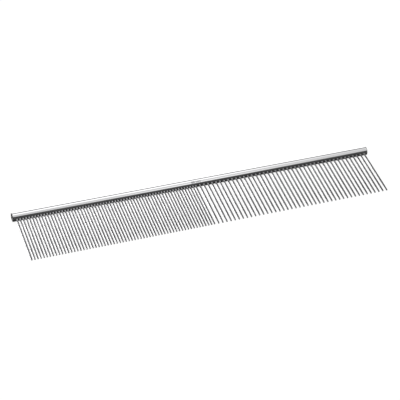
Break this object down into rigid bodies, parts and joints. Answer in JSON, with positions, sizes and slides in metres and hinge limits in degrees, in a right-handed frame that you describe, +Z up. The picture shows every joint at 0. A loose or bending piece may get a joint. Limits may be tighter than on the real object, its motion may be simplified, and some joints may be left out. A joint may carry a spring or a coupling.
{
  "type": "steel grooming comb",
  "caption": "Long pet grooming comb: a round chromed spine with tapered round steel pins, closely spaced on one half and widely spaced on the other.",
  "frame": {"origin": "centre of the comb's footprint on the surface that it lies on", "axes": "+X along the spine from the fine teeth to the coarse teeth, +Y from the tips towards the spine, +Z up"},
  "size_m": [0.25, 0.045, 0.006],
  "materials": {
    "spine_chrome": "polished",
    "tooth_steel": "satin"
  },
  "bodies": {
    "root": {"spine": "spine_chrome", "fine_teeth_01": "tooth_steel", "fine_teeth_02": "tooth_steel", "fine_teeth_03": "tooth_steel", "fine_teeth_04": "tooth_steel", "fine_teeth_05": "tooth_steel", "fine_teeth_06": "tooth_steel", "fine_teeth_07": "tooth_steel", "fine_teeth_08": "tooth_steel", "fine_teeth_09": "tooth_steel", "fine_teeth_10": "tooth_steel", "fine_teeth_11": "tooth_steel", "fine_teeth_12": "tooth_steel", "fine_teeth_13": "tooth_steel", "fine_teeth_14": "tooth_steel", "fine_teeth_15": "tooth_steel", "fine_teeth_16": "tooth_steel", "fine_teeth_17": "tooth_steel", "fine_teeth_18": "tooth_steel", "fine_teeth_19": "tooth_steel", "fine_teeth_20": "tooth_steel", "fine_teeth_21": "tooth_steel", "fine_teeth_22": "tooth_steel", "fine_teeth_23": "tooth_steel", "fine_teeth_24": "tooth_steel", "fine_teeth_25": "tooth_steel", "fine_teeth_26": "tooth_steel", "fine_teeth_27": "tooth_steel", "fine_teeth_28": "tooth_steel", "fine_teeth_29": "tooth_steel", "fine_teeth_30": "tooth_steel", "fine_teeth_31": "tooth_steel", "coarse_teeth_01": "tooth_steel", "coarse_teeth_02": "tooth_steel", "coarse_teeth_03": "tooth_steel", "coarse_teeth_04": "tooth_steel", "coarse_teeth_05": "tooth_steel", "coarse_teeth_06": "tooth_steel", "coarse_teeth_07": "tooth_steel", "coarse_teeth_08": "tooth_steel", "coarse_teeth_09": "tooth_steel", "coarse_teeth_10": "tooth_steel", "coarse_teeth_11": "tooth_steel", "coarse_teeth_12": "tooth_steel", "coarse_teeth_13": "tooth_steel", "coarse_teeth_14": "tooth_steel", "coarse_teeth_15": "tooth_steel", "coarse_teeth_16": "tooth_steel", "coarse_teeth_17": "tooth_steel", "coarse_teeth_18": "tooth_steel", "coarse_teeth_19": "tooth_steel", "coarse_teeth_20": "tooth_steel", "coarse_teeth_21": "tooth_steel", "coarse_teeth_22": "tooth_steel"}
  },
  "joints": []
}
